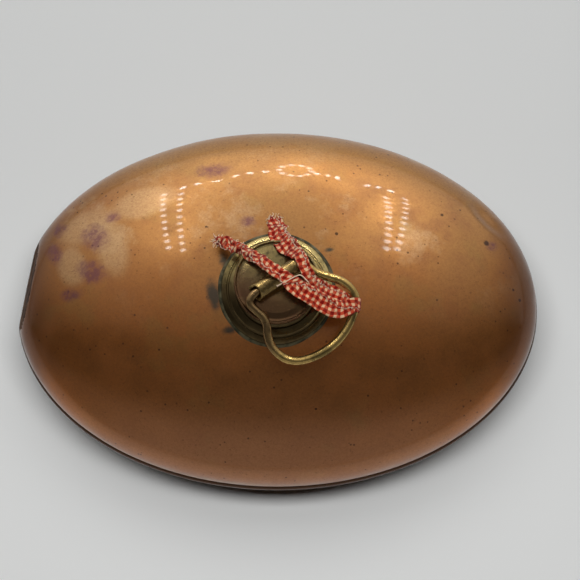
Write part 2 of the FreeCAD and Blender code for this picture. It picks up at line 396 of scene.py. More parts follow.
def speckled(s, colour, fine):
    """Fine dark specks all over, and groups of small pits."""
    grain = s.noise(1500, 2, 0.5)
    specks = s.ease(s.calc("MULTIPLY", fine, grain), 0.33, 0.42, 0.0, 0.45)
    colour = s.mix(specks, colour, tone(96, 62, 34))
    colour = s.mix(s.ease(s.noise(850, 4, 0.7), 0.35, 0.65, 0.0, 0.3), colour, tone(124, 78, 44))
    pits = s.ease(s.cells(210), 0.15, 0.09)
    pits = s.calc("MULTIPLY", pits, s.ease(s.noise(55, 2), 0.46, 0.56))
    return s.mix(s.calc("MULTIPLY", pits, 0.7), colour, tone(66, 40, 24))


def stained(s, colour):
    """Heat stains, dark spots, and the dirty ring and grime round the collar."""
    ragged = s.calc("MULTIPLY_ADD", s.noise(260, 5, 0.75), 0.9, s.noise(70, 3, 0.6))
    mottled = s.ease(s.noise(320, 4, 0.7), 0.36, 0.6, 0.35, 0.75)
    for px, py, across, along, turn in STAINS:
        patch = s.blot(px, py, across, along, ragged, turn)
        colour = s.mix(s.calc("MULTIPLY", patch, mottled), colour, tone(106, 58, 70))
    for px, py, size in SPOTS:
        patch = s.blot(px, py, size, size, ragged, 0.0, 0.2)
        colour = s.mix(s.calc("MULTIPLY", patch, 0.85), colour, tone(48, 26, 18))
    halo = s.blot(-1.5, -1.5, 27.5, 27.5, ragged, 0.0, 0.10)
    colour = s.mix(s.calc("MULTIPLY", halo, 0.7), colour, tone(78, 70, 46))
    for px, py, across, along in GRIME_PATCHES:
        patch = s.blot(px, py, across, along, ragged, 0.2)
        colour = s.mix(s.calc("MULTIPLY", patch, 0.85), colour, tone(44, 54, 48))
    return colour


def copper():
    """Tarnished, lacquered copper with heat stains, specks and grime, and painted reflection, light and
    shade.
    """
    s = Shader("aged_copper", metallic=0.95, coat=0.45, coat_roughness=0.045)
    x, y, z = s.parts()
    broad = s.noise(14, 3, 0.5)
    middle = s.noise(60, 5, 0.6)
    fine = s.noise(480, 3, 0.6)
    colour = stained(s, speckled(s, copper_wear_and_painted_light(s, x, y, broad, middle), fine))
    # painted shade: the metal below the seam's fold is darkened, standing in for the shade under the bulge
    shade_below_fold = s.ease(z, 0.0400, 0.0384, 0.0, 0.93)
    colour = s.mix(shade_below_fold, colour, tone(70, 46, 30))
    rough = s.ease(middle, 0.3, 0.7, 0.30, 0.42)
    normal = s.bump(broad, 1.0, 0.3)
    normal = s.bump(fine, 0.04, 0.5, normal)
    return s.finish(colour, rough, normal)


def battered_copper():
    """The scuffed, dirty metal of the knocked-in end."""
    s = Shader("battered_copper", metallic=0.5, roughness=0.8)
    s.surface.inputs["Specular IOR Level"].default_value = 0.1
    streaks = s.noise(180, 4, 0.7)
    colour = s.mix(s.ease(streaks, 0.42, 0.62), tone(62, 42, 30), tone(96, 66, 44))
    return s.finish(colour, None, s.bump(streaks, 0.1, 0.5))


def brass(name, bright, dull, grime, tarnish, rough_low, rough_high, shaded=None):
    """Old brass: turning marks round the axis, tarnish patches and grime, with painted shade darkening its
    front when a shaded colour is given.
    """
    s = Shader(name, metallic=0.95)
    x, y, z = s.parts()
    radius = s.calc("SQRT", s.calc("ADD", s.calc("MULTIPLY", x, x), s.calc("MULTIPLY", y, y)))
    rings = s.add("ShaderNodeCombineXYZ")
    s.feed(rings.inputs[0], radius)
    s.feed(rings.inputs[2], s.calc("MULTIPLY", z, 0.6))
    lathe = s.noise(2600, 2, 0.5, rings.outputs[0])
    broad = s.noise(70, 4, 0.6)
    fine = s.noise(600, 4, 0.65)
    colour = s.mix(s.ease(broad, 0.38, 0.66), bright, dull)
    spread = s.calc("ADD", fine, s.calc("MULTIPLY", broad, 0.5))
    colour = s.mix(s.ease(spread, 0.72, 0.95, 0.0, tarnish), colour, grime)
    # painted shade: the front of the part, more so on the left, is darkened where it lies in shade
    if shaded:
        run = s.calc("MULTIPLY_ADD", x, 0.45, s.calc("MULTIPLY_ADD", broad, 0.012, y))
        colour = s.mix(s.ease(run, 0.014, -0.008, 0.0, 0.85), colour, shaded)
    rough = s.ease(broad, 0.35, 0.7, rough_low, rough_high)
    normal = s.bump(lathe, 0.03, 0.6)
    normal = s.bump(fine, 0.05, 0.5, normal)
    return s.finish(colour, rough, normal)


def wire_brass():
    """Handled brass wire: golden where it is rubbed, brown and mottled elsewhere."""
    s = Shader("bail_wire", metallic=0.95)
    broad = s.noise(90, 4, 0.6)
    fine = s.noise(900, 4, 0.65)
    x = s.parts()[0]
    worn = s.ease(s.calc("MULTIPLY_ADD", broad, 0.02, x), 0.002, 0.016)
    colour = s.mix(worn, tone(142, 114, 76), tone(196, 164, 98))
    colour = s.mix(s.ease(fine, 0.52, 0.64, 0.0, 0.55), colour, tone(72, 50, 36))
    colour = s.mix(s.ease(broad, 0.52, 0.66, 0.0, 0.7), colour, tone(98, 84, 48))
    normal = s.bump(fine, 0.03, 0.5)
    return s.finish(colour, s.ease(fine, 0.3, 0.7, 0.12, 0.3), normal)


def solder():
    """Dull old solder, dark in patches."""
    s = Shader("old_solder", metallic=0.7, roughness=0.5)
    patchy = s.noise(260, 4, 0.6)
    colour = s.mix(s.ease(patchy, 0.4, 0.62), tone(98, 92, 68), tone(56, 54, 38))
    return s.finish(colour, None, s.bump(s.noise(500, 3), 0.15, 0.7))


def leather():
    """Dark brown leather with a fine grain."""
    s = Shader("old_leather", roughness=0.75)
    grain = s.cells(1300)
    colour = s.mix(s.noise(300, 4), tone(66, 40, 26), tone(104, 68, 42))
    return s.finish(colour, None, s.bump(grain, 0.1, 0.6))


RAG_WIDE = 21.0   # cut width of the strip
CHECK = 3.2       # one red and one cream band of the gingham
YARN = 0.36       # between neighbouring yarns


def gingham():
    """Plain-weave check from the cloth's own flat coordinates, which are millimetres."""
    s = Shader("gingham_cotton", roughness=0.85)
    s.surface.inputs["Sheen Weight"].default_value = 0.08
    s.surface.inputs["Specular IOR Level"].default_value = 0.15
    s.surface.inputs["Sheen Roughness"].default_value = 0.4
    flat = s.add("ShaderNodeUVMap", uv_map="cloth").outputs[0]
    jitter = s.noise(0.8, 2, 0.5, flat)
    split = s.add("ShaderNodeSeparateXYZ")
    s.feed(split.inputs[0], flat)
    across, along = split.outputs[0], split.outputs[1]

    def band(value):
        uneven = s.calc("MULTIPLY_ADD", jitter, 0.35, value)
        wave = s.calc("SINE", s.calc("MULTIPLY", uneven, 2 * math.pi / CHECK))
        return s.ease(wave, -0.38, 0.05)

    red = s.calc("ADD", band(across), band(along))
    colour = s.mix(s.ease(red, 0.0, 1.0), tone(244, 204, 160), tone(208, 76, 48))
    colour = s.mix(s.ease(red, 1.0, 2.0), colour, tone(138, 14, 6))
    warp = s.calc("SINE", s.calc("MULTIPLY", across, 2 * math.pi / YARN))
    weft = s.calc("SINE", s.calc("MULTIPLY", along, 2 * math.pi / YARN))
    weave = s.calc("MULTIPLY_ADD", s.calc("MULTIPLY", warp, weft), 0.5, 0.5)
    shade = s.calc("MULTIPLY", s.ease(weave, 0.0, 1.0, 0.0, 0.35), s.noise(4, 3, 0.6, flat))
    colour = s.mix(shade, colour, tone(110, 40, 34))
    edge = s.calc("ABSOLUTE", s.calc("SUBTRACT", across, RAG_WIDE / 2))
    frayed = s.calc("MULTIPLY_ADD", jitter, 2.6, edge)
    pale_edge = s.ease(frayed, RAG_WIDE / 2 - 0.1, RAG_WIDE / 2 + 0.5, 0.0, 0.75)
    colour = s.mix(pale_edge, colour, tone(244, 222, 194))
    faded = s.ease(s.noise(0.5, 3, 0.6, flat), 0.5, 0.75, 0.0, 0.35)
    colour = s.mix(faded, colour, tone(226, 170, 130))
    return s.finish(colour, None, s.bump(weave, 0.12, 0.8))


def yarn(name, light, dark):
    """Matt cotton yarn, lighter and darker in patches."""
    s = Shader(name, roughness=0.9)
    colour = s.mix(s.noise(700, 3), light, dark)
    return s.finish(colour, None, s.bump(s.noise(3000, 2), 0.05, 0.6))


def painted_floor():
    """Pale matt paint, with painted light making it slightly lighter towards the front."""
    s = Shader("pale_floor", roughness=0.9)
    s.surface.inputs["Specular IOR Level"].default_value = 0.1
    y = s.parts()[1]
    # painted light: the floor is made lighter towards the front
    colour = s.mix(s.ease(y, 0.12, -0.14), tone(226, 227, 226), tone(240, 241, 240))
    return s.finish(colour)


# ---- the copper body ----

def rim_oval(angles, grow):
    """Plan of the widest oval, grown by grow, at these angles."""
    point = np.stack([HALF_LENGTH * np.cos(angles), HALF_WIDTH * np.sin(angles)], 1)
    out = np.stack([np.cos(angles) / HALF_LENGTH, np.sin(angles) / HALF_WIDTH], 1)
    return point + grow * out / np.linalg.norm(out, axis=1)[:, None]


def dome_height(x, y, inset=0.0):
    """Height of the dome's outside over a plan point, or of its inside with an inset."""
    a, b, c = HALF_LENGTH - inset, HALF_WIDTH - inset, RISE - inset
    return WAIST_Z + c * np.sqrt(np.maximum(0.0, 1 - (x / a) ** 2 - (y / b) ** 2))


def near_line(plan, line):
    """Signed distance of plan points from a short polyline, and how far along it (0 to 1)."""
    best = np.full(len(plan), 1e9)
    along = np.zeros(len(plan))
    line = np.array(line, float)
    for k in range(len(line) - 1):
        run = line[k + 1] - line[k]
        t = np.clip(((plan - line[k]) @ run) / (run @ run), 0, 1)
        gap = plan - (line[k] + t[:, None] * run)
        distance = np.linalg.norm(gap, axis=1)
        side = np.sign(run[0] * gap[:, 1] - run[1] * gap[:, 0])
        closer = distance < np.abs(best)
        best = np.where(closer, distance * side, best)
        along = np.where(closer, (k + t) / (len(line) - 1), along)
    return best, along


def knocked(points, inset=0.0):
    """The points of one copper surface with the knocks and dents of years."""
    p = points.copy()
    # the left end has been knocked flat, with a softly rounded edge
    depth = p @ FLAT_FACE - FLAT_OFFSET + inset
    push = 0.5 * (depth + np.sqrt(depth ** 2 + 0.16)) - 0.01
    push = np.where(p[:, 0] < FLAT_LIMIT_X, push, 0.0)
    p -= FLAT_FACE * push[:, None]
    normal = np.stack([p[:, 0] / HALF_LENGTH ** 2, p[:, 1] / HALF_WIDTH ** 2,
                       (p[:, 2] - WAIST_Z) / RISE ** 2], 1)
    normal /= np.linalg.norm(normal, axis=1)[:, None]
    high = p[:, 2] > 44
    # a long crease by the right end, raised on one side, and the dents
    gap, along = near_line(p[:, :2], CREASE)
    fade = np.sin(math.pi * np.clip(along, 0, 1)) ** 0.7
    crease = 1.1 * np.exp(-((gap - 1.5) / 3.6) ** 2) - 0.3 * np.exp(-((gap + 3.0) / 3.0) ** 2)
    sink = np.where(high, crease * fade, 0.0)
    for x, y, wide, long, deep in DENTS:
        dent = deep * np.exp(-((p[:, 0] - x) / wide) ** 2 - ((p[:, 1] - y) / long) ** 2)
        sink += np.where(high, dent, 0)
    for i, q in enumerate(p):
        if high[i] or q[2] < 32:
            sink[i] += 0.35 * noise.noise((q[0] * 0.022, q[1] * 0.022, q[2] * 0.02))
    # none of it reaches the collar or the flat base
    by_collar = np.clip((np.hypot(p[:, 0], p[:, 1]) - 31) / 12, 0, 1)
    by_base = np.clip(p[:, 2] / 4, 0, 1)
    return p - normal * (sink * by_collar * by_base)[:, None]


COLUMNS = 360
SEAM_TOP_Z = 38.3    # where the upper wall leaves the fold
BELLY_TOP_Z = 34.9   # where the lower wall reaches it


def wall_rows(steps, inset, angles):
    """Wall of the upper half from the seam, over the widest line, in to the neck."""
    rows = []
    for z in np.linspace(SEAM_TOP_Z, WAIST_Z, 9)[:-1]:
        squeeze = math.sqrt(1 - ((WAIST_Z - z) / (RISE - inset)) ** 2)
        plan = rim_oval(angles, -inset) * squeeze
        rows.append(np.column_stack([plan, np.full(len(angles), z)]))
    hole = np.stack([np.cos(angles), np.sin(angles)], 1) * (NECK_RADIUS + 0.15)
    widest = rim_oval(angles, -inset)
    for k in range(steps):
        v = math.cos(math.pi / 2 * k / (steps - 1))
        plan = hole + (widest - hole) * v
        z = dome_height(plan[:, 0], plan[:, 1], inset)
        rows.append(np.column_stack([plan, z]))
    return rows


def ring_row(angles, grow, z):
    """One level row round the widest oval, grown by grow."""
    return np.column_stack([rim_oval(angles, grow), np.full(len(angles), z)])


def batter_left_end(dome, battered):
    """Gives the flattened left end its own, battered metal."""
    dome.data.materials.append(battered)
    for face in dome.data.polygons:
        middle = np.array(face.center) / MM
        if middle[0] < FLAT_LIMIT_X and middle @ FLAT_FACE > FLAT_OFFSET - FLAT_BAND:
            face.material_index = 1


def make_dome(material, battered):
    """Upper half shell: outside wall, neck hole, inside wall and the turned-out lip."""
    angles = np.linspace(0, 2 * math.pi, COLUMNS, endpoint=False)
    outside = wall_rows(100, 0.0, angles)
    inside = wall_rows(30, WALL, angles)[::-1]
    lip = [ring_row(angles, grow, z) for grow, z in
           ((-2.0, 37.2), (-1.7, 36.8), (-0.1, 36.8), (0.35, 37.0), (0.35, 37.4), (-0.1, 37.6),
            (-0.8, 37.8))]
    sections = [knocked(r) for r in outside]
    sections += [knocked(r, WALL) for r in inside]
    sections += [knocked(r) for r in lip]
    points = np.vstack(sections)
    faces = grid_faces(len(sections), COLUMNS, True, True)
    dome = make_object("copper_dome", points, faces, material)
    batter_left_end(dome, battered)
    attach(dome, "bottle")
    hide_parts("upper_shell")


def belly_rows(angles, steps, inset, start_z):
    """Lower wall from the seam round to the middle of the flat base."""
    drop = BELLY_DROP - inset
    start = math.asin((WAIST_Z - start_z) / drop)
    end = math.asin((WAIST_Z - inset) / drop)
    rows = []
    for k in range(steps):
        t = start + (end - start) * k / (steps - 1)
        z = WAIST_Z - drop * math.sin(t)
        plan = rim_oval(angles, -inset) * math.cos(t)
        rows.append(np.column_stack([plan, np.full(len(angles), z)]))
    edge = rows[-1]
    base_rings = 6
    for k in range(1, base_rings + 1):
        flat = edge.copy()
        flat[:, :2] *= (1 - k / base_rings) ** 0.8
        rows.append(flat)
    return rows


def make_bowl(material):
    """Lower half shell with its rim folded over the dome's lip."""
    angles = np.linspace(0, 2 * math.pi, COLUMNS, endpoint=False)
    outside = belly_rows(angles, 60, 0.0, BELLY_TOP_Z)
    inside = belly_rows(angles, 26, WALL, BELLY_TOP_Z)[::-1]
    fold_inside = [(-1.9, 36.2), (0.2, 36.3), (0.6, 36.7), (0.65, 37.4), (0.3, 37.85), (-0.5, 38.15),
                   (-0.75, 38.3)]
    fold_outside = [(-0.82, 38.72), (-0.6, 38.85), (-0.1, 38.75), (0.5, 38.45), (0.95, 37.95),
                    (1.22, 37.3), (1.26, 36.7), (1.1, 36.1), (0.7, 35.6), (0.0, 35.25), (-0.9, 35.1)]
    sections = [knocked(r, WALL) for r in inside]
    sections += [knocked(ring_row(angles, grow, z)) for grow, z in fold_inside + fold_outside]
    sections += [knocked(r) for r in outside]
    points = np.vstack(sections)
    faces = grid_faces(len(sections), COLUMNS, False, True)
    bowl = make_object("copper_bowl", points, faces, material)
    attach(bowl, "bottle")
    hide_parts("lower_shell")


def make_seam_solder(material):
    """Solder run round the inside of the seam, following its knocks."""
    angles = np.linspace(0, 2 * math.pi, COLUMNS, endpoint=False)
    section = softened([(-2.75, 35.7), (-2.75, 37.5), (-3.8, 37.3), (-3.8, 35.9)], 0.45, 2)
    rows = [knocked(ring_row(angles, grow, z), 2.9) for grow, z in section]
    points = np.vstack(rows)
    faces = grid_faces(len(rows), COLUMNS, True, True)
    run = make_object("seam_solder_run", points, faces, material)
    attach(run, "bottle")
    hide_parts("seam_solder")


# ---- neck and stopper ----

def make_flange(material):
    """Stepped brass collar bedded on the dome."""
    edge = FLANGE_EDGE_Z
    bore = NECK_RADIUS + 0.05
    outline = [(FLANGE_RADIUS, edge - 0.3), (27.9, edge + 0.2), (25.8, edge + 1.4), (25.3, edge + 1.05),
               (24.8, edge + 1.3), (24.2, edge + 2.2), (21.2, edge + 3.7), (20.7, edge + 3.35),
               (20.2, edge + 3.6), (19.4, edge + 4.6), (17.8, edge + 5.8), (17.3, edge + 7.4),
               (bore, edge + 7.9)]
    # the outline is closed below for rounding its corners, then the closing corners are dropped
    top = softened(outline + [(bore, 84.0), (FLANGE_RADIUS, 84.0)], 0.3)
    top = top[:len(outline) * 4]
    columns = 192
    rows = round_about_axis(top, columns, 0.12, 3.0)
    bed = round_about_axis([(radius, 0.0) for radius in (bore, 20.0, 24.0, FLANGE_RADIUS)], columns)
    bed[:, :, 2] = dome_height(bed[:, :, 0], bed[:, :, 1]) + 0.02
    points = np.vstack([rows.reshape(-1, 3), bed.reshape(-1, 3)])
    faces = grid_faces(len(top) + len(bed), columns, True, True)
    flange = make_object("neck_collar", points, faces, material)
    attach(flange, "bottle")
    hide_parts("neck_flange")


def make_flange_solder(material):
    """Uneven line of solder between the collar and the dome."""
    columns = 192
    inner, outer = FLANGE_RADIUS - 0.6, FLANGE_RADIUS + 1.5
    section = softened([(inner, 0.4), (FLANGE_RADIUS + 0.5, 0.9), (outer, 0.12), (outer, -0.05),
                        (inner, -0.05)], 0.3)
    rows = round_about_axis(section, columns, 0.5, 9.0)
    for i in range(rows.shape[0]):
        x, y = rows[i, :, 0], rows[i, :, 1]
        lift = np.array([0.8 + 0.6 * noise.noise((a * 0.2, b * 0.2, 4.0)) for a, b in zip(x, y)])
        rows[i, :, 2] = dome_height(x, y) + rows[i, :, 2] * lift
    faces = grid_faces(len(section), columns, True, True)
    bead = make_object("collar_solder_line", rows.reshape(-1, 3), faces, material)
    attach(bead, "bottle")
    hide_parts("flange_solder")


def make_washer(material):
    """Leather washer on the neck's mouth, pressed out a little at its edge."""
    outline = [(WASHER_HOLE_RADIUS, MOUTH_Z), (17.2, MOUTH_Z), (17.6, MOUTH_Z + 0.9),
               (17.2, WASHER_TOP_Z), (WASHER_HOLE_RADIUS, WASHER_TOP_Z)]
    washer = turned("leather_washer", outline, material, 0.4, 120, 0.25, 5.0)
    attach(washer, "washer")
    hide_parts("sealing_washer")


def make_cap(material):
    """Round cap with a thin raised rim."""
    low = WASHER_TOP_Z
    rim = low + CAP_RIM_HEIGHT
    outline = [(0.0, low + 0.01), (CAP_RADIUS - 1.0, low + 0.01), (CAP_RADIUS, low + 1.0),
               (CAP_RADIUS, rim - 0.5), (CAP_RADIUS - 0.3, rim), (CAP_RADIUS - 1.0, rim),
               (CAP_RADIUS - 1.4, rim - 0.7), (CAP_RADIUS - 2.6, rim - 0.75), (16.0, rim - 0.1),
               (10.0, rim + 0.45), (0.0, rim + 0.8)]
    cap = turned("stopper_disc", outline, material, 0.3, 192, 0.10, 1.0)
    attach(cap, "stopper")
    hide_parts("stopper_cap")


def barrel_point(along, across, up):
    """Point from the middle of the barrel's bore."""
    return PIVOT + ALONG * along + ACROSS * across + UP * up


def filed(along, angle):
    """Place along the barrel once its ends are filed: both slant, and one has its top cut back."""
    side = np.sign(along)
    slant = 0.0
    if abs(along) > BARREL_LENGTH / 2 - 1.0:
        slant = -0.35 * math.sin(angle + 0.6) * side
    cut_from = -6
    if along < cut_from:
        along = cut_from + (along - cut_from) * (1 - 0.36 * max(0.0, math.sin(angle)) ** 0.7)
    return along + slant - 0.4 * side


def make_barrel(material):
    """Tube across the cap, dented outside, with its ends filed by hand."""
    half = BARREL_LENGTH / 2
    section = softened([(BARREL_RADIUS, half), (BARREL_RADIUS, -half), (BARREL_BORE, -half),
                        (BARREL_BORE, half)], 0.45)
    stations = []
    for (r0, h0), (r1, h1) in zip(section, np.roll(section, -1, axis=0)):
        pieces = max(1, int(abs(h1 - h0) / 1.5))
        for k in range(pieces):
            stations.append((r0 + (r1 - r0) * k / pieces, h0 + (h1 - h0) * k / pieces))
    columns = 96
    rows = np.zeros((len(stations), columns, 3))
    for i, (radius, along) in enumerate(stations):
        for j in range(columns):
            angle = 2 * math.pi * j / columns
            r = radius
            if radius > 4:
                r += 0.10 * noise.noise((2 * math.cos(angle), 2 * math.sin(angle), along * 0.15))
            rows[i, j] = barrel_point(filed(along, angle), r * math.cos(angle), r * math.sin(angle))
    faces = grid_faces(len(stations), columns, True, True)
    barrel = make_object("hinge_barrel", rows.reshape(-1, 3), faces, material)
    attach(barrel, "stopper")
    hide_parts("bail_barrel")


def make_barrel_solder(material):
    """Solder run along both sides of the barrel's foot."""
    columns, count = 28, 60
    half = 12.6
    rows = np.zeros((count, columns, 3))
    for i in range(count):
        along = -half + 2 * half * i / (count - 1)
        end = 1 - abs(along / 12.7) ** 6
        wide = (3.4 + 0.5 * noise.noise((along * 0.3, 0.0, 7.0))) * max(0.15, end)
        tall = (1.5 + 0.3 * noise.noise((along * 0.4, 5.0, 1.0))) * max(0.2, end)
        for j in range(columns):
            angle = 2 * math.pi * j / columns
            up = -5.0 + max(-0.35, tall * math.sin(angle))
            rows[i, j] = barrel_point(along, wide * math.cos(angle), up)
    points = np.vstack([rows.reshape(-1, 3), rows[0].mean(0), rows[-1].mean(0)])
    faces = grid_faces(count, columns, False, True)
    close_ends(faces, count, columns)
    bed = make_object("barrel_solder_bed", points, faces, material)
    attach(bed, "stopper")
    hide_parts("barrel_solder")


def in_bail(along, away):
    """Point on the bail's tilted plane, from the pivot."""
    return PIVOT + ALONG * along + REACH * away


# the wire's bends: along the barrel, away from it
BAIL_PATH = [(-5, 0), (-9, 0), (-13.2, 0.1), (-16.4, 1.2), (-17.7, 3.8), (-16.9, 7.8), (-15.9, 12.0),
             (-16.6, 16.4), (-18.8, 20.6), (-20.2, 25.2), (-20.0, 30.0), (-17.8, 35.6), (-13.2, 39.8),
             (-6.4, 42.3), (1.4, 43.2), (9.2, 42.4), (16.2, 39.9), (22.0, 36.2), (26.3, 32.5), (28.6, 28.4),
             (28.7, 23.6), (26.8, 18.3), (22.6, 13.2), (18.8, 8.6), (17.2, 4.6), (15.6, 1.4), (12.6, 0.2),
             (9, 0), (6, 0)]


def make_bail(material):
    """Heart-shaped wire bail, bent by hand, both ends turned into the barrel."""
    path = np.array([in_bail(p, q) for p, q in smooth_path(BAIL_PATH, 10)])
    radii = [WIRE_RADIUS * (1 + 0.035 * noise.noise((0.09 * i, 0.0, 3.3))) for i in range(len(path))]
    points, faces = capped_tube(path, radii, 28)
    points = np.array([q + 0.03 * np.array(noise.noise_vector(q * 0.4)) for q in points])
    bail = make_object("wire_bail", points, faces, material)
    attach(bail, "bail")
    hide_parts("bail")


# ---- the rag ----

CLOTH = 0.34         # thickness of the cloth
RAG_HEM = 0.9        # the middle surface stops this far inside the cut edge
FOLD_BEND = 0.12     # part of each folded layer that its bends take up
# stations along the strip: x, y, z of its middle, then the sideways direction, folded width,
# gap between the folded layers, roll about its own run in degrees, and how crumpled it is
RAG_STATIONS = [
    (-29.8, 24.7, 93.2, -0.57, -0.82, 0.00, 5.6, 1.30, -70, 1.0),
    (-24.5, 22.2, 97.0, -0.55, -0.83, 0.00, 6.6, 1.40, -45, 1.2),
    (-18.3, 17.9, 104.0, -0.57, -0.82, 0.00, 6.2, 1.50, -10, 1.2),
    (-13.1, 13.4, 110.4, -0.60, -0.80, 0.00, 6.2, 1.40, 24, 1.2),
    (-7.1, 8.3, 116.0, -0.62, -0.78, 0.00, 6.8, 1.40, 14, 1.2),
    (-0.6, 3.3, 119.6, -0.60, -0.80, 0.00, 6.2, 1.30, -8, 1.0),
    (4.3, -0.5, 120.6, -0.60, -0.80, 0.00, 6.6, 1.20, -10, 1.0),
    (9.3, -4.9, 120.0, -0.55, -0.83, 0.00, 8.8, 0.95, 2, 1.0),
    (14.2, -7.9, 118.6, -0.52, -0.85, 0.00, 9.8, 0.85, 6, 1.0),
    (20.7, -11.4, 116.2, -0.50, -0.86, 0.00, 9.8, 0.85, 2, 1.0),
    (26.7, -14.3, 113.8, -0.42, -0.90, 0.00, 9.4, 0.85, -2, 1.0),
    (32.2, -15.0, 111.9, -0.25, -0.96, -0.08, 8.8, 0.80, 0, 0.7),
    (35.8, -13.8, 110.4, -0.12, -0.98, -0.15, 8.4, 0.55, 0, 0.35),
    (38.4, -12.5, 109.7, -0.10, -0.98, -0.16, 8.0, 0.48, 0, 0.2),
    (41.3, -12.0, 107.4, -0.10, -0.98, -0.16, 7.4, 0.45, 0, 0.15),
    (41.3, -11.8, 103.8, -0.10, -0.98, -0.16, 7.8, 0.45, 0, 0.15),
    (38.6, -11.4, 102.0, -0.10, -0.98, -0.16, 7.8, 0.48, 0, 0.2),
    (35.8, -9.8, 103.8, -0.18, -0.97, -0.14, 8.2, 0.55, 0, 0.35),
    (31.2, -7.6, 106.6, -0.32, -0.94, -0.06, 8.8, 0.70, 0, 0.7),
    (24.3, -5.2, 110.2, -0.45, -0.89, 0.00, 8.8, 0.80, 0, 1.0),
    (18.2, -1.4, 114.8, -0.68, -0.73, 0.00, 6.8, 1.00, 6, 1.0),
    (15.0, 3.3, 118.4, -0.88, -0.47, 0.00, 6.0, 1.10, 8, 1.0),
    (12.4, 9.2, 118.2, -0.86, -0.50, 0.00, 6.8, 1.10, 4, 1.0),
    (8.3, 15.1, 112.4, -0.80, -0.60, 0.00, 9.4, 1.00, 8, 1.2),
    (3.6, 21.8, 105.4, -0.86, -0.50, 0.00, 12.2, 0.85, 6, 1.2),
    (0.4, 29.0, 98.4, -0.94, -0.34, 0.00, 10.6, 0.95, 0, 1.3),
    (-1.3, 35.6, 94.2, -0.97, -0.25, 0.00, 6.2, 1.40, -10, 1.2)]


def fold(c, width, gap):
    """Where a point c across the flat strip lies in its folded section."""
    phase = (c + width / 2 * 0.3) / width
    layer = math.floor(phase)
    part = phase - layer
    if layer % 2 == 0:
        across = part
    else:
        across = 1 - part
    turn = 0.0
    if part > 1 - FOLD_BEND:
        turn = 0.5 * ((part - 1 + FOLD_BEND) / FOLD_BEND) ** 2
    elif part < FOLD_BEND:
        turn = -0.5 * ((FOLD_BEND - part) / FOLD_BEND) ** 2
    edge = min(part, 1 - part)
    pull = 0.5 * FOLD_BEND * max(0.0, 1 - edge / FOLD_BEND) ** 2 * (1 if across > 0.5 else -1)
    return (across - 0.5) * width - pull * width * 0.6, (layer - 1 + turn) * gap


def rag_frames(rows):
    """Evenly spaced points, directions and folded sizes along the strip."""
    path = smooth_path(RAG_STATIONS, 16)
    steps = np.linalg.norm(np.diff(path[:, :3], axis=0), axis=1)
    length = np.concatenate([[0], np.cumsum(steps)])
    even = np.linspace(0, length[-1], rows)
    path = np.column_stack([np.interp(even, length, path[:, k]) for k in range(path.shape[1])])
    tangents = np.gradient(path[:, :3], axis=0)
    tangents /= np.linalg.norm(tangents, axis=1)[:, None]
    return even, path, tangents


def torn(value, seed):
    """How far a torn edge strays at this place along it."""
    return noise.noise((value * 0.4, seed, 0.0)) + 0.7 * noise.noise((value * 2.1, seed, 4.0))


def crumpled(c, along, width, gap, limp):
    """Folded section at c across the strip, with the cloth's own soft creases."""
    across, up = fold(c, width, gap)
    crumple = 1.5 * noise.noise((along * 0.19, across * 0.3, 1.7))
    crumple += 0.6 * noise.noise((along * 0.5, across * 0.5, 9.1))
    up += limp * (crumple - 0.022 * across ** 2)
    across += limp * 0.6 * noise.noise((along * 0.16, up * 0.5, 5.5))
    return across, up


def tear_ends(middle, tangents):
    """Moves the last two rows at both ends to a torn line."""
    columns = middle.shape[1]
    ragged = [torn(j * 0.7, 6.0) * 2.2 for j in range(columns)]
    for j in range(columns):
        middle[0, j] -= tangents[0] * ragged[j]
        middle[1, j] -= tangents[0] * ragged[j] * 0.5
        middle[-1, j] += tangents[-1] * ragged[-1 - j]
        middle[-2, j] += tangents[-1] * ragged[-1 - j] * 0.5


def rag_surface(rows, columns):
    """Middle surface of the cloth, its flat coordinates, and the strip's length."""
    even, path, tangents = rag_frames(rows)
    middle = np.zeros((rows, columns, 3))
    flat = np.zeros((rows, columns, 2))
    for i, along in enumerate(even):
        centre, side = path[i, :3], path[i, 3:6]
        width, gap, roll, limp = path[i, 6], path[i, 7], math.radians(path[i, 8]), path[i, 9]
        width *= 1 + 0.16 * limp * noise.noise((along * 0.22, 3.0, 8.0))
        roll += 0.5 * limp * noise.noise((along * 0.12, 6.0, 2.0))
        side = unit(side - tangents[i] * np.dot(side, tangents[i]))
        lift = np.cross(side, tangents[i])
        for j in range(columns):
            t = j / (columns - 1)
            c = RAG_HEM + (RAG_WIDE - 2 * RAG_HEM) * t
            stray = (1 - t) ** 4 * torn(along, 1.0) + t ** 4 * torn(along, 2.0)
            across, up = crumpled(c + stray, along, width, gap, limp)
            a = across * math.cos(roll) - up * math.sin(roll)
            b = across * math.sin(roll) + up * math.cos(roll)
            middle[i, j] = centre + side * a + lift * b
            flat[i, j] = (c, along)
    tear_ends(middle, tangents)
    return middle, flat, even[-1]


def cloth_faces(rows, columns):
    """Both faces of a cloth of two grids, and the narrow faces round its border."""
    count = rows * columns
    upper = grid_faces(rows, columns, False, False)
    faces = upper + [tuple(count + k for k in reversed(face)) for face in upper]
    border = list(range(columns))
    border += [i * columns + columns - 1 for i in range(1, rows)]
    border += [(rows - 1) * columns + j for j in range(columns - 2, -1, -1)]
    border += [i * columns for i in range(rows - 2, 0, -1)]
    for a, b in zip(border, border[1:] + border[:1]):
        faces.append((b, a, count + a, count + b))
    return faces


